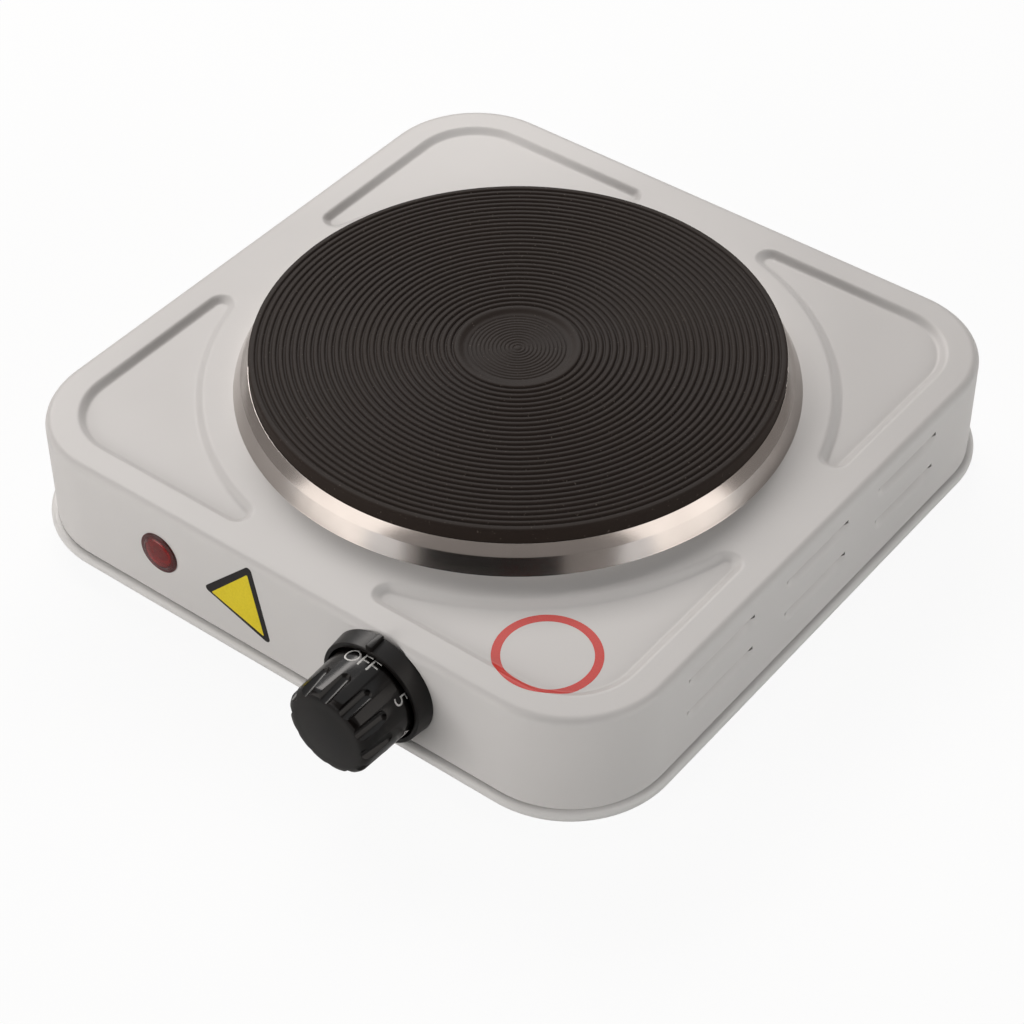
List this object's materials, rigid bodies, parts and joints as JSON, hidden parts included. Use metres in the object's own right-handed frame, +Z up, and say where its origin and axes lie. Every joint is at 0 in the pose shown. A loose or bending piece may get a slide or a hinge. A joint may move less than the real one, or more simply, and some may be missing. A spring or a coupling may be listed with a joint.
{
  "type": "hot plate burner",
  "caption": "Square electric hot plate with a round grooved cast-iron plate, trim ring, rounded sheet housing, pilot lamp and a front rotary control.",
  "frame": {"origin": "centre of the footprint box on the plane that the feet stand on", "axes": "+Z up; +X to the user's right; the knob and the lamp are on the -Y front, the cord bush on the +Y rear"},
  "size_m": [0.21, 0.2328, 0.053],
  "materials": {
    "housing_powder_coat": "light warm grey powder coat, satin with a fine orange peel",
    "tray_sheet": "light grey coated sheet steel",
    "zinc_steel": "zinc-plated mild steel",
    "feet_rubber": "matt black moulded rubber",
    "cast_plate": "black heat-cured coating on machined grey iron",
    "coil_wire": "oxidised resistance wire",
    "magnesia": "pressed magnesia, chalky",
    "trim_stainless": "bright drawn stainless steel",
    "steatite": "opaque unglazed steatite ceramic",
    "brass_parts": "plain turned and stamped brass",
    "bimetal": "rolled thermostatic bimetal",
    "bezel_moulding": "glossy black phenolic",
    "knob_moulding": "glossy black phenolic",
    "lens_red": "red tinted polycarbonate",
    "lamp_moulding": "white nylon",
    "bulb_glass": "clear soda glass",
    "bush_moulding": "black nylon",
    "live_sleeve": "braided glass-fibre sleeve, brown-red",
    "neutral_sleeve": "braided glass-fibre sleeve, blue",
    "earth_sleeve": "braided glass-fibre sleeve, green"
  },
  "bodies": {
    "housing": {"housing_shell": "housing_powder_coat", "base_tray": "tray_sheet", "corner_brackets": "zinc_steel", "rubber_feet": "feet_rubber", "foot_screws": "zinc_steel", "hotplate_casting": "cast_plate", "heating_coil": "coil_wire", "magnesia_fill": "magnesia", "plate_back_cover": "zinc_steel", "element_pins": "zinc_steel", "ceramic_beads": "steatite", "trim_ring": "trim_stainless", "mounting_stud": "zinc_steel", "cover_nut": "zinc_steel", "clamp_bridge": "zinc_steel", "bridge_washer": "zinc_steel", "bridge_nut": "zinc_steel", "thermostat_bracket": "zinc_steel", "thermostat_bush": "brass_parts", "thermostat_screws": "zinc_steel", "stack_insulators": "steatite", "contact_spring": "brass_parts", "fixed_contact": "brass_parts", "bimetal_blade": "bimetal", "stack_rivet": "zinc_steel", "knob_bezel": "bezel_moulding", "lamp_lens": "lens_red", "lamp_body": "lamp_moulding", "neon_bulb": "bulb_glass", "lamp_clip": "zinc_steel", "cord_bush": "bush_moulding", "terminal_block": "steatite", "terminal_inserts": "brass_parts", "terminal_screws": "zinc_steel", "block_screws": "zinc_steel", "earth_screw": "brass_parts", "earth_tag": "brass_parts", "live_lead": "live_sleeve", "heater_lead": "live_sleeve", "neutral_lead": "neutral_sleeve", "lamp_leads": "neutral_sleeve", "earth_lead": "earth_sleeve"},
    "push_pin": {"push_pin": "steatite"},
    "knob": {"knob": "knob_moulding", "control_spindle": "zinc_steel", "knob_spring_clip": "zinc_steel"}
  },
  "joints": [
    {"name": "pin_slide", "type": "slide", "parent": "housing", "child": "push_pin", "axis": [0, 1, 0], "range_m": [0, 0.00085]},
    {"name": "knob_turn", "type": "hinge", "parent": "push_pin", "child": "knob", "pos_m": [0.0352, -0.09265, 0.0252], "axis": [0, 1, 0], "range_deg": [0, 300]}
  ],
  "couplings": [
    {"joint": "pin_slide", "follows": "knob_turn", "m_per_rad": 0.00015915}
  ]
}
